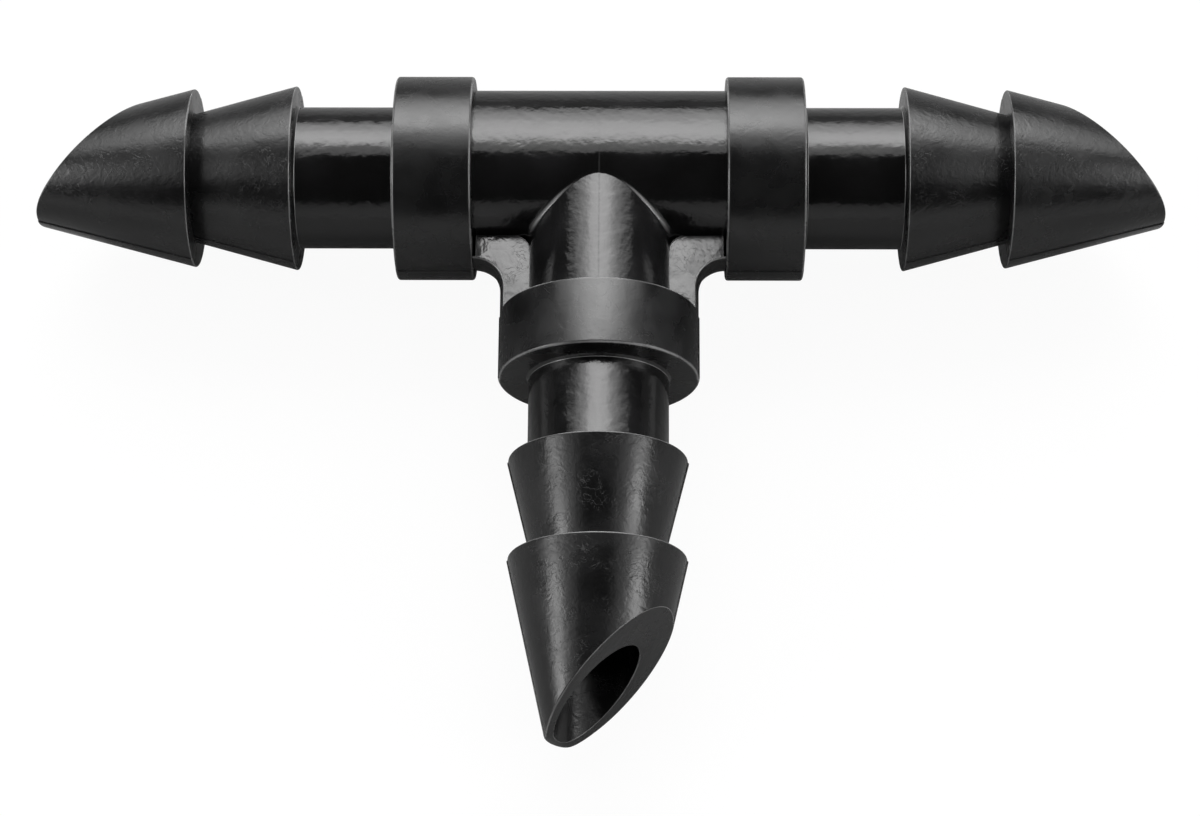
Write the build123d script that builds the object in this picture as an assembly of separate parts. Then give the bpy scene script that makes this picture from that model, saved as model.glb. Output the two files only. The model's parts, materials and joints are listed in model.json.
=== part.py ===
from build123d import *
import os
from dataclasses import dataclass
from math import cos, radians, sin

# A barbed tee connector for 4 mm bore micro-irrigation tube: two run arms in line and one branch
# arm at right angles to them, each with a stop collar, a seat for the tube, two barbs and a nose
# cut off at a slant. Lengths are in millimetres and angles in degrees.
#
# The run lies along X and the branch points along -Y. The origin is where their axes cross, the
# mould's parting plane is XY, and +Z is up for a tee that lies flat.
#
# The real tee is one moulding. It is divided here at its own edges, so that each length of it is
# a solid that can be measured or changed by itself, and neighbours meet face to face.


# Driving dimensions

@dataclass
class Arm:
    """One arm. Distances along it are measured from the point where the tee's axes cross."""
    bore_radius: float           # the water way
    collar_radius: float
    collar_start: float          # the collar's face towards the middle of the tee
    collar_end: float            # the face that the tube stops against
    seat_radius: float           # the plain length that the tube closes on
    inner_crest_radius: float
    inner_crest_at: float        # the inner barb's sharp edge
    inner_root_radius: float     # the inner barb's small end, under the outer barb
    outer_crest_radius: float
    outer_crest_at: float
    nose_slope: float            # how fast the nose narrows, in radius per length
    nose_end: float              # how far the tip reaches
    tip_round: float             # round on the tip's outer edge
    bevel_angle: float           # between the slanted cut's normal and the arm, in the XY plane
    bevel_lift: float            # how far that normal is lifted towards +Z
    bevel_crossing: float        # where the slanted cut crosses the arm's axis


run = Arm(
    bore_radius=1.13,
    collar_radius=2.895,
    collar_start=3.545,
    collar_end=5.73,
    seat_radius=2.0,
    inner_crest_radius=2.639,
    inner_crest_at=8.56,
    inner_root_radius=1.84,
    outer_crest_radius=2.555,
    outer_crest_at=11.455,
    nose_slope=0.262,
    nose_end=15.95,
    tip_round=0.10,
    bevel_angle=43.2,
    bevel_lift=-4.0,
    bevel_crossing=14.68,
)

branch = Arm(
    bore_radius=1.13,
    collar_radius=2.80,
    collar_start=4.226,
    collar_end=6.16,
    seat_radius=1.944,
    inner_crest_radius=2.519,
    inner_crest_at=8.585,
    inner_root_radius=1.81,
    outer_crest_radius=2.492,
    outer_crest_at=11.42,
    nose_slope=0.22,
    nose_end=16.40,
    tip_round=0.22,
    bevel_angle=43.9,
    bevel_lift=15.8,
    bevel_crossing=15.22,
)

# Body between the run collars: a round bar that is fuller at the back than at the branch side
body_front = 2.04                # from the run's axis to the branch side
body_back = 2.55                 # from the run's axis to the back
body_height = 2.155              # from the run's axis up or down

# Neck between the body and the branch collar
neck_radius = 2.0
root_length = 0.5                # how much of the neck belongs to the body's own solid
saddle_fillet = 0.36             # where the neck runs into the body

# Webs in the two inner corners
web_thickness = 0.94
web_draft = 13.0                 # the web's edge leans in from the parting plane to its faces
web_foot = 0.686                 # straight part of the web's edge, above the branch collar
web_hollow = 0.77                # radius of the hollow corner beside each run collar

# Small edge rounds
collar_round = 0.12
crest_round = 0.035
bevel_round = 0.07


# Solids of revolution, turned about X for an arm that points along +X

def turned(start, end, start_radius, end_radius, bore_radius, start_round=0, end_round=0):
    """A hollow round length whose outside may taper, with its outer edges rounded."""
    outline = Polyline(
        (start, bore_radius),
        (start, start_radius),
        (end, end_radius),
        (end, bore_radius),
        close=True,
    )
    face = make_face(outline)
    for place, size in ((start, start_round), (end, end_round)):
        if size:
            corner = face.vertices().filter_by_position(Axis.X, place, place).sort_by(Axis.Y)[-1]
            face = fillet(corner, size)
    return revolve(face, Axis.X)


def collar(arm):
    return turned(arm.collar_start, arm.collar_end, arm.collar_radius, arm.collar_radius,
                  arm.bore_radius, collar_round, collar_round)


def hose_seat(arm):
    return turned(arm.collar_end, arm.inner_crest_at, arm.seat_radius, arm.seat_radius,
                  arm.bore_radius)


def inner_barb(arm):
    return turned(arm.inner_crest_at, arm.outer_crest_at, arm.inner_crest_radius,
                  arm.inner_root_radius, arm.bore_radius, start_round=crest_round)


def nose(arm):
    """The outer barb and its nose, cut off at a slant, with the cut's edges rounded."""
    length = arm.nose_end - arm.outer_crest_at
    end_radius = arm.outer_crest_radius - arm.nose_slope * length
    blank = turned(arm.outer_crest_at, arm.nose_end, arm.outer_crest_radius, end_radius,
                   arm.bore_radius, crest_round, arm.tip_round)
    level = cos(radians(arm.bevel_lift))
    normal = Vector(
        level * cos(radians(arm.bevel_angle)),
        level * sin(radians(arm.bevel_angle)),
        sin(radians(arm.bevel_lift)),
    )
    cut = Plane(origin=(arm.bevel_crossing, 0, 0), z_dir=normal)
    piece = split(blank, bisect_by=cut, keep=Keep.BOTTOM)
    bevel = piece.faces().filter_by(lambda face: abs(face.normal_at().dot(normal)) > 0.9999)[0]
    return fillet(bevel.outer_wire().edges(), bevel_round)


# Body, neck and webs

def rod(radius, start, end):
    """A plain round rod along the branch, between two distances from the run's axis."""
    along = Align.CENTER, Align.CENTER, Align.MIN
    return Pos(0, -start, 0) * Rot(90, 0, 0) * Cylinder(radius, end - start, align=along)


def body_blank():
    """The oval body with the root of the neck, before boring."""
    back = EllipticalCenterArc((0, 0), body_back, body_height, -90, arc_size=180)
    front = EllipticalCenterArc((0, 0), body_front, body_height, 90, arc_size=180)
    section = Plane.YZ * make_face([back, front])
    bar = extrude(section, run.collar_start, both=True)
    root = rod(neck_radius, 0, body_front + root_length)
    joined = bar + root
    saddle = new_edges(bar, root, combined=joined)
    return fillet(saddle, saddle_fillet)


def run_body(blank):
    """The body, bored through along the run and out along the branch."""
    run_way = Rot(0, 90, 0) * Cylinder(run.bore_radius, 2 * run.collar_start)
    branch_way = rod(branch.bore_radius, 0, body_front + root_length)
    return blank - run_way - branch_way


def branch_neck():
    start = body_front + root_length
    outside = rod(neck_radius, start, branch.collar_start)
    return outside - rod(branch.bore_radius, start, branch.collar_start)


def web(blank, branch_collar):
    """The web between the body, the neck and the two collars on the +X side."""
    centre_x = run.collar_start
    centre_y = web_foot - branch.collar_start
    outer_x = centre_x - web_hollow
    outer_y = centre_y + web_hollow
    past_x = run.collar_start + web_thickness
    past_y = -branch.collar_start - web_thickness
    hollow = CenterArc((centre_x, centre_y), web_hollow, 90, 90)
    rest = Polyline(
        (outer_x, centre_y),
        (outer_x, past_y),
        (0, past_y),
        (0, 0),
        (past_x, 0),
        (past_x, outer_y),
        (centre_x, outer_y),
    )
    edge = [hollow, rest]
    half = extrude(make_face(edge), web_thickness / 2, taper=web_draft)
    plate = half + mirror(half, about=Plane.XY)
    room = Box(run.collar_start, branch.collar_end, web_thickness,
               align=(Align.MIN, Align.MAX, Align.CENTER))
    neck = rod(neck_radius, 0, branch.collar_end)
    return (plate & room) - blank - neck - branch_collar


# The whole tee

def point_branch(piece):
    """Turn an arm piece from +X to the branch's direction, -Y."""
    return Rot(0, 0, -90) * piece


def mirror_to_left(piece):
    return mirror(piece, about=Plane.YZ)


def all_nodes():
    nodes = {}
    arm_pieces = {
        "collar": collar,
        "hose_seat": hose_seat,
        "inner_barb": inner_barb,
        "nose": nose,
    }
    for name, make in arm_pieces.items():
        right = make(run)
        nodes["right_" + name] = right
        nodes["left_" + name] = mirror_to_left(right)
        nodes["branch_" + name] = point_branch(make(branch))
    blank = body_blank()
    nodes["run_body"] = run_body(blank)
    nodes["branch_neck"] = branch_neck()
    right_web = web(blank, nodes["branch_collar"])
    nodes["right_web"] = right_web
    nodes["left_web"] = mirror_to_left(right_web)
    return nodes


os.makedirs("parts", exist_ok=True)
for name, piece in all_nodes().items():
    export_step(piece, "parts/" + name + ".step")
    print(name, len(piece.solids()), "solid,", round(piece.volume, 3), "mm3")
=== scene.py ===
# %% [markdown]
# # A black barbed tee for drip irrigation
#
# The tee is one small plastic moulding, about 32 mm from tip to tip. Two arms lie in line and one
# branches off. This lesson loads its measured frame, turns each arm's pieces again as fine meshes
# with the small edge rounds and mould marks of the real thing, gives them two black finishes, and
# lights them as a small glossy black object has to be lit: by what it mirrors.

# %% Load the measured frame
import json
import bpy
import bmesh
from math import atan2, cos, exp, log, pi, radians, sin, sqrt, tan, tanh
from mathutils import Matrix, Vector


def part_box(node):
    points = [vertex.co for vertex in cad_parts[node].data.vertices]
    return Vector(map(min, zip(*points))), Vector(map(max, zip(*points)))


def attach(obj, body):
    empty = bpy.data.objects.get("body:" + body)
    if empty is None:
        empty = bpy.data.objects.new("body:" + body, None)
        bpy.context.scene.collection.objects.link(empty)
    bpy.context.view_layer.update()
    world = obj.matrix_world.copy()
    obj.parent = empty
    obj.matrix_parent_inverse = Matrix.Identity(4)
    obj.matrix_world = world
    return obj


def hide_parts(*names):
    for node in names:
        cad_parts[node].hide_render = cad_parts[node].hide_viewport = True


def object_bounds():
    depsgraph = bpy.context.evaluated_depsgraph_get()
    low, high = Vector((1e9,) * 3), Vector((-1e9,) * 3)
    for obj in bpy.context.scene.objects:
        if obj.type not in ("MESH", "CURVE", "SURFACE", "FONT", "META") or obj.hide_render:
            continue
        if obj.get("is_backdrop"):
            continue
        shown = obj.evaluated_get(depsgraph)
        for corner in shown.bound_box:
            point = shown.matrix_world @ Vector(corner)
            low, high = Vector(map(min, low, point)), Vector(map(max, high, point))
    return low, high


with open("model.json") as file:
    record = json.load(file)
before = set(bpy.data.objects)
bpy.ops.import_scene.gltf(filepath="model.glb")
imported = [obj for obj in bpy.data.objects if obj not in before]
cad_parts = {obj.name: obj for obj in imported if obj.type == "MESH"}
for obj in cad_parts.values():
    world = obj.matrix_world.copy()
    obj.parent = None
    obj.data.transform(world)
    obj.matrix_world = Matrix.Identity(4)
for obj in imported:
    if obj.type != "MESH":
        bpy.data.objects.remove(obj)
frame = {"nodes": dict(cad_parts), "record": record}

for name in ("Cube", "Light", "Camera"):
    if name in bpy.data.objects:
        bpy.data.objects.remove(bpy.data.objects[name])
cad_bounds = [list(corner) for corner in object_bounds()]
MM = 0.001
print("frame nodes:", len(frame["nodes"]))

# %% [markdown]
# ## Sizes
#
# Most sizes are read from the frame, so the fine meshes can't drift away from it. What a box can't
# tell, such as how fast a nose narrows, is written here once, in millimetres. An arm is drawn
# pointing along +X: its distances run outwards from where the arms' axes cross. The left arm is a
# mirror image of the right one, and the branch is the same kind of arm turned to point along -Y.

# %% Read each arm's sizes from its boxes
ARM_AXIS = {"right": (0, 1), "left": (0, -1), "branch": (1, -1)}


def span(node, arm):
    """How far a piece reaches along its arm, nearest and farthest, in millimetres."""
    axis, sign = ARM_AXIS[arm]
    low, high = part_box(node)
    ends = sorted((low[axis] * sign / MM, high[axis] * sign / MM))
    return ends[0], ends[1]


def radius(node):
    """The largest radius of a round piece: half its height, as every arm lies flat."""
    low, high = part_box(node)
    return (high.z - low.z) / 2 / MM


bore_radius = {}
for mount in frame["record"]["mounts"]:
    if mount["kind"] == "bore":
        bore_radius[mount["name"]] = mount["dims"]["r_mm"]


def arm_sizes(arm):
    way = "branch_bore" if arm == "branch" else "run_bore"
    collar_start, collar_end = span(arm + "_collar", arm)
    inner_at, outer_at = span(arm + "_inner_barb", arm)
    return {
        "bore": bore_radius[way],
        "collar_start": collar_start,
        "collar_end": collar_end,
        "collar": radius(arm + "_collar"),
        "seat": radius(arm + "_hose_seat"),
        "inner_at": inner_at,
        "inner": radius(arm + "_inner_barb"),
        "outer_at": outer_at,
        "outer": radius(arm + "_nose"),
        "tip": span(arm + "_nose", arm)[1],
    }


sizes = {arm: arm_sizes(arm) for arm in ARM_AXIS}
print({arm: {k: round(v, 3) for k, v in s.items()} for arm, s in sizes.items()})

# %% The few sizes that a box doesn't tell
# slope: radius lost per length of nose
# angle, lift: how the slanted cut leans away from square, and how it is rolled, in degrees
# crossing: where the cut crosses the arm's axis
# blunter: how far the bare tip would stand out past the box
# root: the radius of the inner barb's small end
CUT = {
    "right": {
        "slope": 0.262, "angle": 43.2, "lift": -4.0,
        "crossing": 14.68, "blunter": 0.03, "root": 1.84,
    },
    "branch": {
        "slope": 0.220, "angle": 43.9, "lift": 15.8,
        "crossing": 15.22, "blunter": 0.0, "root": 1.81,
    },
}
CUT["left"] = CUT["right"]

# %% [markdown]
# ## Turning a piece
#
# Every arm piece is round, so it is spun: a closed outline is drawn in the half-plane beside the
# arm's axis and copied at each angle round it. A screw modifier could do that too, but code can
# change the outline as it goes round, which the slanted noses and the mould's parting line need.
# The corners are rounded in the outline itself, so every edge catches a true highlight. The middle
# of each round is also painted paler: partly wear, partly a painted highlight.

# %% Round the corners of an outline
MOST_OF_A_SIDE = 0.45            # an arc may use up this share of the straight beside it


def rounded(corners, steps=6):
    """Points of a closed outline, as (along, out, edge). Its corners, given as (along, out, round),
    are turned as arcs, and edge runs up to 1 in the middle of each arc, where the colour is painted
    paler: partly wear, partly a painted highlight."""
    points = []
    count = len(corners)
    for i, (x, y, size) in enumerate(corners):
        here = Vector((x, y))
        if size == 0:
            points.append((x, y, 0.0))
            continue
        before = Vector(corners[i - 1][:2]) - here
        after = Vector(corners[(i + 1) % count][:2]) - here
        half = before.angle(after) / 2
        reach = min(size / tan(half), before.length * MOST_OF_A_SIDE, after.length * MOST_OF_A_SIDE)
        size = reach * tan(half)
        before.normalize()
        after.normalize()
        centre = here + (before + after).normalized() * (size / sin(half))
        first = here + before * reach - centre
        last = here + after * reach - centre
        turn = first.angle_signed(last)
        for k in range(steps + 1):
            place = centre + Matrix.Rotation(-turn * k / steps, 2) @ first
            points.append((place.x, place.y, sin(pi * k / steps) ** 3))
    return points


# %% Choose the angles
ROUND_COUNT = 288                # copies of the outline round an arm
SEAM_SPACING = 0.0022            # radians between the extra copies near a mould line
SEAM_EXTRA = 9                   # extra copies on each side of it


def turn_angles():
    """Angles round the arm, with more of them at the parting, 0 and pi, and along the top."""
    angles = [2 * pi * i / ROUND_COUNT for i in range(ROUND_COUNT)]
    for seam in (0, pi / 2, pi):
        angles += [seam + SEAM_SPACING * k for k in range(-SEAM_EXTRA, SEAM_EXTRA + 1) if k]
    return sorted(a % (2 * pi) for a in angles)


ANGLES = turn_angles()
print("angles round an arm:", len(ANGLES))

# %% Bring points and meshes into the tee
def to_place(along, out, angle, arm):
    """A point of an arm drawn along +X, in the tee's own place, in metres."""
    x, y, z = along * MM, out * cos(angle) * MM, out * sin(angle) * MM
    if arm == "left":
        return (-x, y, z)
    if arm == "branch":
        return (y, -x, z)
    return (x, y, z)


CRISP_FROM = 40                  # degrees between two faces, from which their edge stays crisp


def finish_mesh(name, mesh):
    """Turn a bmesh into a smooth-shaded piece whose true corners stay crisp."""
    bmesh.ops.recalc_face_normals(mesh, faces=mesh.faces)
    data = bpy.data.meshes.new(name)
    mesh.to_mesh(data)
    mesh.free()
    data.shade_smooth()
    data.set_sharp_from_angle(angle=radians(CRISP_FROM))
    piece = bpy.data.objects.new(name, data)
    bpy.context.scene.collection.objects.link(piece)
    return piece


# %% Spin an outline round the arm
PARTING_STEP = 0.03              # the mould's upper half was this much smaller than its lower
PARTING_WIDTH = 0.008
STEP_FROM = 0.05                 # a point is stepped only farther than this outside the bore


def step_at(angle, out):
    """How much smaller the upper half is: nothing below the parting, and the full step above."""
    return PARTING_STEP * (0.5 + 0.5 * tanh(out * sin(angle) / PARTING_WIDTH))


def join_rings(mesh, rings):
    """Faces between each ring of points and the next, and from the last back to the first."""
    for one, two in zip(rings, rings[1:] + rings[:1]):
        for i in range(len(one)):
            j = (i + 1) % len(one)
            mesh.faces.new((one[i], one[j], two[j], two[i]))


def spin(name, arm, outline_at, stepped=False):
    """A closed mesh from outline_at(angle), whose upper half may be smaller by the parting step."""
    mesh = bmesh.new()
    wear_and_highlight_layer = mesh.verts.layers.float.new("edge")
    rings = []
    bore = sizes[arm]["bore"]
    for angle in ANGLES:
        ring = []
        for along, out, edge in outline_at(angle):
            if stepped and out > bore + STEP_FROM:
                out -= step_at(angle, out)
            vert = mesh.verts.new(to_place(along, out, angle, arm))
            # how much paler the colour is painted here: partly wear, partly a painted highlight
            vert[wear_and_highlight_layer] = edge
            ring.append(vert)
        rings.append(ring)
    join_rings(mesh, rings)
    return finish_mesh(name, mesh)


# %% Put a fine mesh in its CAD piece's place
def stand_for(piece, node):
    """Put a fine mesh in its CAD node's place."""
    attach(piece, "root")
    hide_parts(node)
    return piece


# %% [markdown]
# ## Stop collars
#
# A tube pushed over the barbs stops against a collar, a plain ring with softly rounded rims. On
# the real part its rims are not knife-sharp, because the steel that shaped it was cut with a small
# radius, and a fine raised line crosses it where the two halves of the mould closed.

# %% Make the collars
RIM_ROUND = 0.08


def collar(arm):
    s = sizes[arm]
    top = s["collar"]
    outline = rounded([
        (s["collar_start"], s["bore"], 0),
        (s["collar_start"], top, RIM_ROUND),
        (s["collar_end"], top, RIM_ROUND),
        (s["collar_end"], s["bore"], 0),
    ], steps=8)
    piece = spin(arm + "_stop_collar", arm, lambda angle: outline, stepped=True)
    return stand_for(piece, arm + "_collar")


collars = [collar(arm) for arm in sizes]
print("collars:", [c.name for c in collars])

# %% [markdown]
# ## Hose seats
#
# Behind each pair of barbs is a plain polished length that the tube closes on. A small fillet runs
# it into the collar and into the barb's back face, so it isn't a bare cylinder butted against them.

# %% Make the seats
SEAT_FILLET = 0.07
FILLET_EASE = 0.05               # the round where a fillet meets the plain seat
HAIR = 0.001                     # a step too small to see


def hose_seat(arm):
    s = sizes[arm]
    outline = rounded([
        (s["collar_end"], s["bore"], 0),
        (s["collar_end"], s["seat"] + SEAT_FILLET, 0),
        (s["collar_end"] + HAIR, s["seat"] + SEAT_FILLET, 0),
        (s["collar_end"] + SEAT_FILLET, s["seat"], FILLET_EASE),
        (s["inner_at"] - SEAT_FILLET, s["seat"], FILLET_EASE),
        (s["inner_at"] - HAIR, s["seat"] + SEAT_FILLET, 0),
        (s["inner_at"], s["seat"] + SEAT_FILLET, 0),
        (s["inner_at"], s["bore"], 0),
    ])
    piece = spin(arm + "_tube_seat", arm, lambda angle: outline)
    return stand_for(piece, arm + "_hose_seat")


seats = [hose_seat(arm) for arm in sizes]
print("seats:", [p.name for p in seats])

# %% [markdown]
# ## Inner barbs
#
# A barb is a short cone whose wide end faces the tee, so a tube slides on but bites when it is
# pulled. Its crest is the sharpest edge on the part and still has a hair of roundness.

# %% Make the inner barbs
CREST_ROUND = 0.04


def inner_barb(arm):
    s = sizes[arm]
    outline = rounded([
        (s["inner_at"], s["bore"], 0),
        (s["inner_at"], s["inner"], CREST_ROUND),
        (s["outer_at"], CUT[arm]["root"], 0),
        (s["outer_at"], s["bore"], 0),
    ])
    piece = spin(arm + "_barb", arm, lambda angle: outline, stepped=True)
    return stand_for(piece, arm + "_inner_barb")


barbs = [inner_barb(arm) for arm in sizes]
print("barbs:", [p.name for p in barbs])

# %% [markdown]
# ## Noses
#
# The outer barb runs on into a nose that is cut off at a slant, so that it can be pushed into a
# tube or pierce one, and the water way opens in the cut. Seen round the arm, the cut comes sooner
# on one side than on the other. So the outline is worked out again at each angle: the cone is
# followed to where it meets the slanted plane, the corner is rounded, and the cut is followed in
# to the mouth of the water way. A boolean cut would leave long thin faces and a hard edge.

# %% Where the slanted cut lies
CUT_ROUND = 0.075
MOUTH_ROUND = 0.035
BLUNT_WIDTH = 0.05               # the cut and the blunt tip melt together over this width
TRIES = 25                       # rounds of closing in on where the cone meets the cut
TRY_STEP = 0.6                   # share of the gap closed in each round


def cut_reach(arm, out, angle):
    """How far the nose reaches at a radius and an angle: to the cut, or to its blunt tip."""
    c = CUT[arm]
    lift, lean = radians(c["lift"]), radians(c["angle"])
    toward = cos(lift) * cos(lean)
    aside = cos(lift) * sin(lean) * cos(angle) + sin(lift) * sin(angle)
    slant = c["crossing"] - out * aside / toward
    blunt = sizes[arm]["tip"] + c["blunter"]
    return slant - BLUNT_WIDTH * log(1 + exp((slant - blunt) / BLUNT_WIDTH))


def nose_outline(arm, angle):
    s, c = sizes[arm], CUT[arm]
    along = c["crossing"]
    crest = s["outer"] - step_at(angle, s["outer"])
    for _ in range(TRIES):
        out = crest - c["slope"] * (along - s["outer_at"])
        along += TRY_STEP * (cut_reach(arm, out, angle) - along)
    half_way = (out + s["bore"]) / 2
    return rounded([
        (s["outer_at"], s["bore"], 0),
        (s["outer_at"], crest, CREST_ROUND),
        (along, out, CUT_ROUND),
        (cut_reach(arm, half_way, angle), half_way, 0),
        (cut_reach(arm, s["bore"], angle), s["bore"], MOUTH_ROUND),
    ], steps=7)


# %% Make the noses
def nose(arm):
    piece = spin(arm + "_cut_nose", arm, lambda angle: nose_outline(arm, angle))
    return stand_for(piece, arm + "_nose")


noses = [nose(arm) for arm in sizes]
for piece in noses:
    print(piece.name, len(piece.data.polygons), "faces")

# %% [markdown]
# ## Body and neck
#
# The bar between the run collars is oval, fuller at the back. The plastic flowed in from both ends
# and met in the middle, which left a hair-thin weld line over the bar and along the neck. The neck
# runs into the bar with a small hollow round. It is worked out at each angle round the neck: a
# short curve leaves the neck, heads for the corner and lands on the bar. That gives an even mesh
# along the whole saddle, where a boolean and a bevel would leave slivers.

# %% Make the bar
BODY_FRONT, BODY_BACK, BODY_HIGH = 2.04, 2.55, 2.153
WELD_HIGH, WELD_WIDE = 0.005, 0.014
WELD_PAINTED_HIGHLIGHT = 0.12               # how much paler the weld line is painted, a painted highlight, on the scale of the paler rims
BAR_COUNT = 240                  # points round the bar
WELD_SPACING = 0.005             # between the extra points across the weld line
WELD_EXTRA = 8                   # extra points on each side of it


def smooth(low, high, x):
    """0 below low and 1 above high, with a soft rise between."""
    t = min(1.0, max(0.0, (x - low) / (high - low)))
    return t * t * (3 - 2 * t)


def on_the_bar(angle, past=0.0):
    """A point of the oval, as (y, z), at an angle from its back towards its top."""
    deep = BODY_BACK if cos(angle) > 0 else BODY_FRONT
    return (deep + past) * cos(angle), (BODY_HIGH + past) * sin(angle)


def bar():
    mesh = bmesh.new()
    wear_and_highlight_layer = mesh.verts.layers.float.new("edge")
    half = sizes["right"]["collar_start"]
    near_weld = [WELD_SPACING * k for k in range(-WELD_EXTRA, WELD_EXTRA + 1)]
    places = [-half, -half / 2] + near_weld + [half / 2, half]
    bore = sizes["right"]["bore"]
    rings = []
    for angle in [2 * pi * k / BAR_COUNT for k in range(BAR_COUNT)]:
        # the weld shows along the top, a little to the front, and fades down both sides
        over = smooth(0.2, 0.7, sin(angle)) * smooth(-0.9, -0.3, -abs(cos(angle) + 0.3))
        ring = []
        for x in places:
            weld = over * exp(-(x / WELD_WIDE) ** 2)
            y, z = on_the_bar(angle, weld * WELD_HIGH)
            vert = mesh.verts.new((x * MM, y * MM, z * MM))
            # the weld line is painted paler here as well: a painted highlight
            vert[wear_and_highlight_layer] = WELD_PAINTED_HIGHLIGHT * weld
            ring.append(vert)
        for x in (half, -half):
            ring.append(mesh.verts.new((x * MM, bore * cos(angle) * MM, bore * sin(angle) * MM)))
        rings.append(ring)
    join_rings(mesh, rings)
    return finish_mesh("oval_bar", mesh)


# %% Open the branch's way through the bar's front wall
DRILL_LENGTH = 3.0               # from the run's axis to past the bar's front
DRILL_SIDES = 96


def bore_branch_way(piece):
    """Open the bar's front wall into the branch, with the water way's own radius."""
    mesh = bmesh.new()
    placed = Matrix.Translation((0, -DRILL_LENGTH / 2 * MM, 0)) @ Matrix.Rotation(pi / 2, 4, "X")
    wide = sizes["branch"]["bore"] * MM
    bmesh.ops.create_cone(mesh, cap_ends=True, segments=DRILL_SIDES, radius1=wide, radius2=wide,
                          depth=DRILL_LENGTH * MM, matrix=placed)
    data = bpy.data.meshes.new("branch_drill")
    mesh.to_mesh(data)
    mesh.free()
    drill = bpy.data.objects.new("branch_drill", data)
    bpy.context.scene.collection.objects.link(drill)
    cut = piece.modifiers.new("branch_way", "BOOLEAN")
    cut.operation = "DIFFERENCE"
    cut.solver = "EXACT"
    cut.object = drill
    bpy.context.view_layer.update()
    evaluated = piece.evaluated_get(bpy.context.evaluated_depsgraph_get())
    shaped = bpy.data.meshes.new_from_object(evaluated)
    piece.modifiers.clear()
    piece.data = shaped
    bpy.data.objects.remove(drill)


oval_bar = bar()
bore_branch_way(oval_bar)
stand_for(oval_bar, "run_body")
print("bar:", len(oval_bar.data.polygons), "faces")

# %% Make the neck
NECK = 2.0
SADDLE_ROUND = 0.24
SADDLE_STEPS = 12                # points along the hollow round
SADDLE_PAINTED_HIGHLIGHT = 0.7              # how much paler the hollow round is painted at the neck's sides: a painted highlight
NECK_WELD = 0.003
LANDING_LIFT = 0.002             # the neck's foot lands this far out of the bar
NECK_ROOT = 0.1                  # and its bore reaches this far into it


def bar_front(out, angle):
    """How far out along the branch the bar's front is, at a radius and an angle round the neck."""
    high = min(0.999, abs(out * sin(angle)) / BODY_HIGH)
    return BODY_FRONT * sqrt(1 - high * high)


def neck_outline(angle):
    s = sizes["branch"]
    corner = bar_front(NECK, angle)
    steep = (corner - bar_front(NECK + HAIR, angle)) / HAIR
    reach = SADDLE_ROUND * tan(atan2(1, steep) / 2)
    far = NECK + reach * cos(atan2(steep, 1))
    landing = bar_front(far, angle) + LANDING_LIFT
    weld = NECK_WELD * exp(-((angle - pi / 2) * NECK / WELD_WIDE) ** 2)
    # the round is painted paler on the neck's shoulders, a painted highlight, and not on its top or
    # low down its sides
    bright = smooth(0.25, 0.6, abs(cos(angle))) * smooth(-0.97, -0.85, -abs(cos(angle)))
    points = []
    for k in range(SADDLE_STEPS + 1):
        t = k / SADDLE_STEPS
        along = (1 - t) ** 2 * landing + 2 * t * (1 - t) * corner + t * t * (corner + reach)
        out = (1 - t) ** 2 * far + 2 * t * (1 - t) * NECK + t * t * NECK
        points.append((along, out + weld * t, SADDLE_PAINTED_HIGHLIGHT * bright * sin(pi * t) ** 6))
    points.append((s["collar_start"], NECK + weld, 0.0))
    points.append((s["collar_start"], s["bore"], 0.0))
    points.append((bar_front(s["bore"], angle) - NECK_ROOT, s["bore"], 0.0))
    return points


neck = stand_for(spin("round_neck", "branch", neck_outline), "branch_neck")
print("neck:", len(neck.data.polygons), "faces")

# %% [markdown]
# ## Webs
#
# A thin web fills each inner corner and stiffens it. It is a flat plate whose edge leans in from
# the parting plane to both faces, so that it leaves the mould, and each face has a fine rounded
# border. The plate is stacked from copies of one outline, each drawn in a little, which gives the
# lean and the round together.

# %% Draw in an outline
def drawn_in(outline, amount):
    """The outline moved in by an amount along its own normals. It runs anticlockwise."""
    moved = []
    for i, here in enumerate(outline):
        before = (here - outline[i - 1]).normalized()
        after = (outline[(i + 1) % len(outline)] - here).normalized()
        inward = Vector((-before.y - after.y, before.x + after.x))
        inward /= max(0.25, inward.length_squared / 2)
        moved.append(here + inward * amount)
    return moved


# %% Make the webs
WEB_THICK = (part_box("right_web")[1].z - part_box("right_web")[0].z) / MM
WEB_LEAN = 13.0                  # degrees
WEB_ROUND = 0.05
WEB_HOLLOW = 0.77                # radius of the hollow corner beside the run collar
WEB_FOOT = 0.686                 # the straight part of the edge, above the branch collar
WEB_CORNER = 0.62                # the round where the bar, the neck and the web's face meet
WEB_TOP = 1.86                   # where the outline starts, just inside the bar and the neck
WEB_SIDE = 1.82
WEB_TUCK = 0.03                  # how far the web reaches into the collars beside it
WEB_CORNER_STEPS = 8
WEB_HOLLOW_STEPS = 16
WEB_ROUND_STEPS = 6


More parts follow.
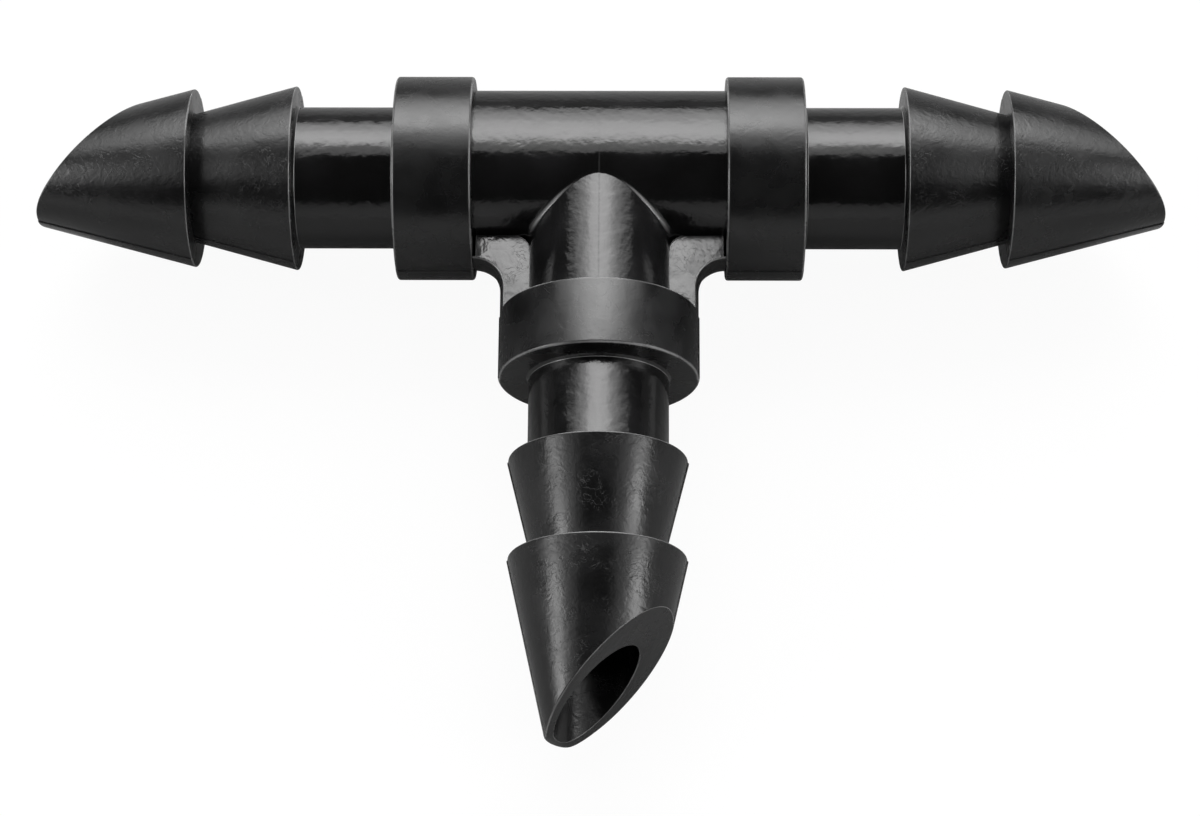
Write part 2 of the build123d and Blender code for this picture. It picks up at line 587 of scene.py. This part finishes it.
def web_outline():
    """The web on the right, as seen from above, running anticlockwise."""
    out_x = sizes["right"]["collar_start"] + WEB_TUCK
    top_y = -WEB_TOP
    low_y = -sizes["branch"]["collar_start"] - WEB_TUCK
    centre = Vector((sizes["right"]["collar_start"], WEB_FOOT - sizes["branch"]["collar_start"]))
    points = [Vector((out_x, top_y))]
    corner = Vector((WEB_SIDE + WEB_CORNER, top_y - WEB_CORNER))
    for k in range(WEB_CORNER_STEPS + 1):
        a = pi / 2 + pi / 2 * k / WEB_CORNER_STEPS
        points.append(corner + WEB_CORNER * Vector((cos(a), sin(a))))
    points.append(Vector((WEB_SIDE, low_y)))
    points.append(Vector((centre.x - WEB_HOLLOW, low_y)))
    for k in range(WEB_HOLLOW_STEPS + 1):
        a = pi - pi / 2 * k / WEB_HOLLOW_STEPS
        points.append(centre + WEB_HOLLOW * Vector((cos(a), sin(a))))
    points.append(Vector((out_x, centre.y + WEB_HOLLOW)))
    return points


def web_levels():
    """Heights from face to face, with how far each is drawn in and how much of an edge it is: the
    rounded border is painted paler, partly as wear and partly as a painted highlight.
    """
    face = WEB_THICK / 2
    lean = tan(radians(WEB_LEAN))
    half = [(0.0, 0.0, 0.0), (face - WEB_ROUND, (face - WEB_ROUND) * lean, 0.0)]
    for k in range(1, WEB_ROUND_STEPS + 1):
        a = pi / 2 * k / WEB_ROUND_STEPS
        z = face - WEB_ROUND + WEB_ROUND * sin(a)
        inset = (face - WEB_ROUND) * lean + WEB_ROUND * (1 - cos(a))
        half.append((z, inset, sin(pi * k / WEB_ROUND_STEPS)))
    return [(-z, inset, edge) for z, inset, edge in reversed(half[1:])] + half


def web(side):
    mesh = bmesh.new()
    wear_and_highlight_layer = mesh.verts.layers.float.new("edge")
    outline = web_outline()
    layers = []
    for z, inset, edge in web_levels():
        layer = []
        for point in drawn_in(outline, inset):
            vert = mesh.verts.new((side * point.x * MM, point.y * MM, z * MM))
            vert[wear_and_highlight_layer] = edge
            layer.append(vert)
        layers.append(layer)
    for one, two in zip(layers, layers[1:]):
        for i in range(len(one)):
            j = (i + 1) % len(one)
            mesh.faces.new((one[i], one[j], two[j], two[i]))
    mesh.faces.new(layers[0])
    mesh.faces.new(layers[-1])
    which = "right" if side > 0 else "left"
    return stand_for(finish_mesh(which + "_corner_web", mesh), which + "_web")


webs = [web(side) for side in (-1, 1)]
print("webs:", [w.name for w in webs], "thickness", round(WEB_THICK, 3), "mm")

# %% [markdown]
# ## Two black finishes
#
# The tee is one black plastic with two surfaces. Where the steel was polished the plastic mirrors
# its surroundings, and only a slow ripple and small dimples show in the reflection. The collars,
# barbs, noses and webs came from plainer steel and have been handled: they are satin, with fine
# grain and curling scuffs, so one recipe makes all three satins with more or less of each. Black
# plastic shows nearly all its detail in its gloss, so the detail goes into roughness and a very
# small bump, given in thousandths of a millimetre, and not into colour.
# Only the rims and rounds are painted a paler grey: partly wear, partly a painted highlight.

# %% Helpers for building a finish out of nodes
MICRON = 1e-6


def start_finish(name):
    """A material with its shader at hand, and the piece's own metres as coordinates."""
    material = bpy.data.materials.new(name)
    material.use_nodes = True
    tree = material.node_tree
    shader = tree.nodes["Principled BSDF"]
    place = tree.nodes.new("ShaderNodeTexCoord").outputs["Object"]
    return material, tree, shader, place


def noise(tree, place, size_mm, detail=2.0, distortion=0.0):
    """Soft noise whose blotches are about size_mm across."""
    node = tree.nodes.new("ShaderNodeTexNoise")
    node.inputs["Scale"].default_value = 1 / (size_mm * MM)
    node.inputs["Detail"].default_value = detail
    node.inputs["Distortion"].default_value = distortion
    tree.links.new(place, node.inputs["Vector"])
    return node.outputs["Fac"]


def mapped(tree, value, low, high, to_low, to_high):
    """The value carried from the range low to high over to the other range, with soft ends."""
    node = tree.nodes.new("ShaderNodeMapRange")
    node.interpolation_type = "SMOOTHSTEP"
    node.inputs["From Min"].default_value = low
    node.inputs["From Max"].default_value = high
    node.inputs["To Min"].default_value = to_low
    node.inputs["To Max"].default_value = to_high
    tree.links.new(value, node.inputs["Value"])
    return node.outputs["Result"]


def maths(tree, operation, first, second):
    """A sum worked out by a node. Each side is a number or another node's output."""
    node = tree.nodes.new("ShaderNodeMath")
    node.operation = operation
    for socket, value in zip(node.inputs, (first, second)):
        if isinstance(value, (int, float)):
            socket.default_value = value
        else:
            tree.links.new(value, socket)
    return node.outputs["Value"]


def bump(tree, height, microns, under=None):
    """A bump of a true height, laid over another one if that is given."""
    node = tree.nodes.new("ShaderNodeBump")
    node.inputs["Strength"].default_value = 1.0
    node.inputs["Distance"].default_value = microns * MICRON
    tree.links.new(height, node.inputs["Height"])
    if under is not None:
        tree.links.new(under, node.inputs["Normal"])
    return node.outputs["Normal"]


# %% The colour: two near blacks, and a paler grey on rims and rounds that is partly wear and partly a painted highlight
# a paler grey for rims and rounds: partly wear, and partly a painted highlight standing in for
# their glints
WEAR_AND_HIGHLIGHT_GREY = (0.20, 0.20, 0.20, 1)
BLOTCH_FROM, BLOTCH_TO = 0.35, 0.65          # where the noise changes from one black to the other
LEAST_WEAR_AND_HIGHLIGHT = 0.35                          # share of that paler grey, wear and painted highlight, that a rim keeps everywhere


def blacks(tree, value, shader, dark, light):
    """Two near blacks, mixed in blotches, and paler on rims and rounds: partly wear and partly a
    painted highlight.
    """
    ramp = tree.nodes.new("ShaderNodeValToRGB")
    ramp.color_ramp.elements[0].position = BLOTCH_FROM
    ramp.color_ramp.elements[0].color = dark
    ramp.color_ramp.elements[1].position = BLOTCH_TO
    ramp.color_ramp.elements[1].color = light
    tree.links.new(value, ramp.inputs["Fac"])
    # the mesh's mark for rims and rounds, painted paler: partly wear, partly a painted highlight
    edge = tree.nodes.new("ShaderNodeAttribute")
    edge.attribute_name = "edge"
    mix = tree.nodes.new("ShaderNodeMix")
    mix.data_type = "RGBA"
    uneven = mapped(tree, value, low=0.3, high=0.6, to_low=LEAST_WEAR_AND_HIGHLIGHT, to_high=1.0)
    wear_and_highlight_share = maths(tree, "MULTIPLY", edge.outputs["Fac"], uneven)
    tree.links.new(wear_and_highlight_share, mix.inputs["Factor"])
    tree.links.new(ramp.outputs["Color"], mix.inputs["A"])
    mix.inputs["B"].default_value = WEAR_AND_HIGHLIGHT_GREY
    tree.links.new(mix.outputs["Result"], shader.inputs["Base Color"])


# %% Scuff lines
SCUFF_CURL = 1.6
SCUFF_WIDTH = 0.014              # on the scale of the noise, which runs from 0 to 1


def scuff_lines(tree, place, size_mm):
    """Thin curling lines: the places where a twisted noise passes its middle value."""
    field = noise(tree, place, size_mm, detail=1.0, distortion=SCUFF_CURL)
    away = maths(tree, "ABSOLUTE", maths(tree, "SUBTRACT", field, 0.5), 0.0)
    return mapped(tree, away, low=0.0, high=SCUFF_WIDTH, to_low=1.0, to_high=0.0)


# %% The polished black
PLASTIC_IOR = 1.5
ROUGH_FROM, ROUGH_TO = 0.3, 0.7              # between these values of the noise the gloss changes


def polished_black():
    material, tree, shader, place = start_finish("polished_black_plastic")
    blotches = noise(tree, place, size_mm=1.6, detail=3.0)
    ripple = noise(tree, place, size_mm=0.55, detail=2.0, distortion=0.4)
    dimples = noise(tree, place, size_mm=0.2, detail=2.0)
    grain = noise(tree, place, size_mm=0.07, detail=3.0)
    blacks(tree, blotches, shader, dark=(0.003, 0.003, 0.003, 1), light=(0.0055, 0.0055, 0.0057, 1))
    rough = mapped(tree, blotches, ROUGH_FROM, ROUGH_TO, to_low=0.10, to_high=0.19)
    tree.links.new(rough, shader.inputs["Roughness"])
    normal = bump(tree, ripple, microns=15)
    normal = bump(tree, dimples, microns=6, under=normal)
    normal = bump(tree, grain, microns=1.8, under=normal)
    tree.links.new(normal, shader.inputs["Normal"])
    shader.inputs["IOR"].default_value = PLASTIC_IOR
    return material


# %% The satin black, with more or fewer scuffs
SCUFF_DULL = 0.05                # how much rougher a scuff is than what lies round it


def satin_black(name, swell_mm, swell_microns, scuff_mm, scuff_microns, smoothest, roughest):
    """Slow swells, fine grain, and curling scuffs that gather in patches."""
    material, tree, shader, place = start_finish(name)
    blotches = noise(tree, place, size_mm=1.2, detail=3.0)
    swell = noise(tree, place, swell_mm, detail=2.5, distortion=0.8)
    grain = noise(tree, place, size_mm=0.06, detail=4.0)
    scuffs = scuff_lines(tree, place, scuff_mm)
    patches = noise(tree, place, size_mm=0.9, detail=2.0)
    where = mapped(tree, patches, low=0.46, high=0.60, to_low=0.0, to_high=1.0)
    scuffs = maths(tree, "MULTIPLY", scuffs, where)
    blacks(tree, blotches, shader,
           dark=(0.0035, 0.0035, 0.0036, 1), light=(0.0065, 0.0065, 0.0067, 1))
    rough = mapped(tree, blotches, ROUGH_FROM, ROUGH_TO, smoothest, roughest)
    rough = maths(tree, "ADD", rough, maths(tree, "MULTIPLY", scuffs, SCUFF_DULL))
    tree.links.new(rough, shader.inputs["Roughness"])
    normal = bump(tree, swell, swell_microns)
    normal = bump(tree, grain, microns=2.2, under=normal)
    normal = bump(tree, scuffs, scuff_microns, under=normal)
    tree.links.new(normal, shader.inputs["Normal"])
    shader.inputs["IOR"].default_value = PLASTIC_IOR
    return material


# %% Give every piece its finish
POLISHED = polished_black()
SATIN = satin_black("satin_black_plastic", swell_mm=0.5, swell_microns=7,
                    scuff_mm=0.45, scuff_microns=0.8, smoothest=0.21, roughest=0.32)
HANDLED = satin_black("handled_black_plastic", swell_mm=0.22, swell_microns=9,
                      scuff_mm=0.27, scuff_microns=1.7, smoothest=0.20, roughest=0.30)
SCUFFED = satin_black("scuffed_black_plastic", swell_mm=0.45, swell_microns=22,
                      scuff_mm=0.25, scuff_microns=2.5, smoothest=0.14, roughest=0.30)


def wear(piece, finish):
    if not piece.material_slots:
        piece.data.materials.append(finish)
    for slot in piece.material_slots:
        slot.material = finish


for piece in collars:
    wear(piece, SATIN)
for piece in barbs + noses:
    wear(piece, HANDLED)
for piece in webs:
    wear(piece, SCUFFED)
for piece in seats + [oval_bar, neck]:
    wear(piece, POLISHED)
print("finishes:", sorted({p.active_material.name for p in collars + barbs + webs + seats}))

# %% [markdown]
# ## Floor, light and camera
#
# A glossy black thing is drawn by what it mirrors. So the stage is a pale dish that curves up all
# round, low behind the tee and higher in front. One large soft panel stands behind it and leans
# over, weaker panels stand at the sides and low in front, and the rest of the room is dark. Each
# panel's glow fades towards its edges, so that the bands it draws on the round arms end softly.

# %% Build the pale dish
FLAT_REACH = 0.33                # metres from the tee to where the floor starts to curve up
DISH_REACH = 0.62
RIM_BEHIND, RIM_AROUND, RIM_BEFORE = 9.0, 16.0, 22.5     # how high the rim stands, in degrees
DISH_RINGS = 24
DISH_SIDES = 96


def dish():
    floor_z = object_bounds()[0][2]
    mesh = bmesh.new()
    centre = mesh.verts.new((0, 0, floor_z))
    rings = []
    for k in range(1, DISH_RINGS + 1):
        ring = []
        out = DISH_REACH * k / DISH_RINGS
        for j in range(DISH_SIDES):
            a = 2 * pi * j / DISH_SIDES
            lean = RIM_AROUND + (RIM_BEHIND - RIM_BEFORE) / 2 * sin(a)
            rise = max(0.0, (out - FLAT_REACH) / (DISH_REACH - FLAT_REACH)) ** 2
            z = floor_z + DISH_REACH * tan(radians(lean)) * rise
            ring.append(mesh.verts.new((out * cos(a), out * sin(a), z)))
        rings.append(ring)
    for j in range(DISH_SIDES):
        mesh.faces.new((centre, rings[0][j], rings[0][(j + 1) % DISH_SIDES]))
    for one, two in zip(rings, rings[1:]):
        for j in range(DISH_SIDES):
            i = (j + 1) % DISH_SIDES
            mesh.faces.new((one[j], two[j], two[i], one[i]))
    data = bpy.data.meshes.new("pale_dish")
    mesh.to_mesh(data)
    mesh.free()
    data.shade_smooth()
    floor = bpy.data.objects.new("pale_dish", data)
    bpy.context.scene.collection.objects.link(floor)
    floor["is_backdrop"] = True
    return floor


floor = dish()
print("dish:", len(floor.data.polygons), "faces,", 2 * DISH_REACH, "m across")

# %% [markdown]
# A small black object on white paper is hard to light. The paper has to look clean white, yet a
# white that bright, mirrored in the plastic, would turn its sides grey. A studio solves it with
# two exposures laid over each other. Here one material does the same: what looks at the paper
# directly finds it nearly white, with a trace of the soft shadow, and what is mirrored in the
# plastic, or bounces, finds a greyer paper that is darkest behind the tee.

# %% Make the paper
PAPER_BEHIND, PAPER_NEAR, PAPER_BEFORE = 0.10, 0.30, 0.60
PAPER_CHANGE = 0.22              # metres in front of the tee, where the last grey is reached
PAPER_CHANGE_BEHIND = PAPER_CHANGE / 3
PAPER_WHITE = 1.12
SHADOW_SHARE = 0.16              # share of the lit paper, with its shadow, in a direct look


def paper():
    material, tree, shader, place = start_finish("pale_paper")
    shader.inputs["Roughness"].default_value = 0.9
    shader.inputs["Specular IOR Level"].default_value = 0.0
    parts = tree.nodes.new("ShaderNodeSeparateXYZ")
    tree.links.new(place, parts.inputs["Vector"])
    grey = maths(tree, "ADD",
                 mapped(tree, parts.outputs["Y"], -PAPER_CHANGE, 0, PAPER_BEFORE - PAPER_NEAR, 0),
                 mapped(tree, parts.outputs["Y"], 0, PAPER_CHANGE_BEHIND, PAPER_NEAR, PAPER_BEHIND))
    tree.links.new(grey, shader.inputs["Base Color"])
    white = tree.nodes.new("ShaderNodeEmission")
    white.inputs["Strength"].default_value = PAPER_WHITE
    looks = tree.nodes.new("ShaderNodeLightPath")
    mix = tree.nodes.new("ShaderNodeMixShader")
    share = maths(tree, "MULTIPLY", looks.outputs["Is Camera Ray"], 1 - SHADOW_SHARE)
    tree.links.new(share, mix.inputs[0])
    tree.links.new(shader.outputs["BSDF"], mix.inputs[1])
    tree.links.new(white.outputs["Emission"], mix.inputs[2])
    tree.links.new(mix.outputs["Shader"], tree.nodes["Material Output"].inputs["Surface"])
    return material


floor.data.materials.append(paper())

# %% A rectangle of light whose glow varies across it
LIGHT_AWAY = 0.55                # metres from the tee to every panel


def share_of(degrees, middle, span):
    """Where an angle falls across a flat panel, from 0 at one edge to 1 at the other."""
    return 0.5 + 0.5 * tan(radians(degrees - middle)) / tan(radians(span / 2))


def glow_ramp(tree, value, middle, span, stops):
    """The glow across a panel, from a list of (degrees, share of the peak)."""
    node = tree.nodes.new("ShaderNodeValToRGB")
    node.color_ramp.interpolation = "EASE"
    elements = node.color_ramp.elements
    while len(elements) < len(stops):
        elements.new(0.5)
    for element, (degrees, share) in zip(elements, stops):
        element.position = min(1.0, max(0.0, share_of(degrees, middle, span)))
        element.color = (share, share, share, 1)
    tree.links.new(value, node.inputs["Fac"])
    return node.outputs["Color"]


def soft_light(name, lean, turn, tall, wide, peak, up, across):
    """A panel that faces the tee. lean is from overhead towards +Y and turn is sideways; up and
    across list (degrees, share of the peak glow), where a glow of 1 looks white."""
    data = bpy.data.lights.new(name, "AREA")
    data.shape = "RECTANGLE"
    data.size = 2 * LIGHT_AWAY * tan(radians(wide / 2))
    data.size_y = 2 * LIGHT_AWAY * tan(radians(tall / 2))
    data.energy = pi * data.size * data.size_y
    data.use_nodes = True
    tree = data.node_tree
    spot = tree.nodes.new("ShaderNodeNewGeometry").outputs["Parametric"]
    parts = tree.nodes.new("ShaderNodeSeparateXYZ")
    tree.links.new(spot, parts.inputs["Vector"])
    glow = maths(tree, "MULTIPLY", glow_ramp(tree, parts.outputs["X"], turn, wide, across),
                 glow_ramp(tree, parts.outputs["Y"], lean, tall, up))
    glow = maths(tree, "MULTIPLY", glow, peak)
    tree.links.new(glow, tree.nodes["Emission"].inputs["Strength"])
    lamp = bpy.data.objects.new(name, data)
    facing = Matrix.Rotation(radians(-lean), 4, "X") @ Matrix.Rotation(radians(turn), 4, "Y")
    lamp.matrix_world = facing @ Matrix.Translation((0, 0, LIGHT_AWAY))
    bpy.context.scene.collection.objects.link(lamp)
    return lamp


# %% Hang the soft panel behind the tee
soft_light(
    "soft_panel", lean=45.5, turn=0, tall=67, wide=92, peak=8.2,
    up=[
        (12.5, 0.0), (15, 0.2), (27, 0.24), (35, 0.9), (42, 1.0), (52, 0.86), (62, 0.56), (79, 0.2),
    ],
    across=[(-46, 0.15), (-30, 0.4), (-14, 0.97), (0, 1.0), (14, 0.97), (30, 0.4), (46, 0.15)],
)

# %% Two soft side lights, which draw the bands on the branch's cones
for side, name in ((-1, "side_panel_left"), (1, "side_panel_right")):
    fading = [(20, 0.0), (36, 0.45), (50, 1.0), (56, 1.0), (75, 0.0)]
    soft_light(
        name, lean=-8, turn=48 * side, tall=50, wide=56, peak=1.8,
        up=[(-33, 0.0), (-14, 1.0), (-2, 1.0), (17, 0.0)],
        across=sorted((degrees * side, share) for degrees, share in fading),
    )

# %% Two low lights in front, which only the rounded rims and crests can mirror
RIM_LIGHT_TURN = 66

for side, name in ((-1, "rim_light_left"), (1, "rim_light_right")):
    middle = RIM_LIGHT_TURN * side
    soft_light(
        name, lean=-48, turn=middle, tall=70, wide=24, peak=6.0,
        up=[(-83, 0.2), (-66, 1.0), (-30, 1.0), (-13, 0.0)],
        across=[(middle - 12, 0.0), (middle - 4, 1.0), (middle + 4, 1.0), (middle + 12, 0.0)],
    )

# %% [markdown]
# The branch points at the viewer, so its upper line mirrors one narrow spot nearly overhead. One
# more light fills that spot, brightest in its middle. A flag keeps it off the run, whose bands
# would otherwise grow wide and flat: in Blender that is light linking.

# %% Hang the flagged light
lit = bpy.data.collections.new("what_the_flagged_light_reaches")
for piece in collars + seats:
    if piece.name.startswith("branch"):
        lit.objects.link(piece)
for piece in webs + [neck]:
    lit.objects.link(piece)
lamp = soft_light(
    "flagged_panel", lean=22, turn=0, tall=26, wide=76, peak=6.6,
    up=[(9, 0.0), (14, 1.0), (30, 1.0), (35, 0.0)],
    across=[(-38, 0.05), (-22, 0.4), (-9, 0.9), (0, 1.0), (9, 0.9), (22, 0.4), (38, 0.05)],
)
lamp.light_linking.receiver_collection = lit

# %% Darken the room
ROOM_GREY = (0.03, 0.03, 0.03, 1)

world = bpy.data.worlds.new("dark_room")
world.use_nodes = True
world.node_tree.nodes["Background"].inputs["Color"].default_value = ROOM_GREY
bpy.context.scene.world = world
bpy.context.scene.view_settings.view_transform = "Standard"

# %% [markdown]
# ## Where the viewer stands
#
# The tee is shown from in front and well above, so that all three arms, the webs and the branch's
# mouth can be seen at once. The camera hangs about nine centimetres away, which is near enough for
# the branch to look a little larger than the run. It is placed by three turns and one offset in
# its own directions, so each can be changed without upsetting the others.

# %% Place the camera
LENS = 99.0
LEAN, TURN, ROLL = 21.3, 0.713, 0.139        # degrees: back from overhead, then about its own axes
STAND = Vector((-0.0063, -6.511, 93.59))     # from the crossing of the arms, in its own directions

turned_to = (Matrix.Rotation(radians(LEAN), 3, "X") @ Matrix.Rotation(radians(TURN), 3, "Y")
             @ Matrix.Rotation(radians(ROLL), 3, "Z"))
camera_data = bpy.data.cameras.new("viewer")
camera_data.lens = LENS
camera_data.sensor_width = 36.0
camera_data.sensor_fit = "HORIZONTAL"
camera_data.clip_start = 0.001
camera = bpy.data.objects.new("viewer", camera_data)
camera.matrix_world = Matrix.Translation(turned_to @ STAND * MM) @ turned_to.to_4x4()
bpy.context.scene.collection.objects.link(camera)
bpy.context.scene.camera = camera
print("camera stands at", [round(v, 4) for v in camera.matrix_world.translation])

# %% [markdown]
# ## Measure
#
# The box round the fine meshes is written down beside the box round the CAD. Rounding edges only
# takes material away, so the fine model has to lie just inside the CAD one.

# %% Finish
visual_bounds = [list(corner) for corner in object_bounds()]
for title, (low, high) in (("CAD", cad_bounds), ("visual", visual_bounds)):
    print(title, "box sides, mm:", [round((high[i] - low[i]) / MM, 3) for i in range(3)])
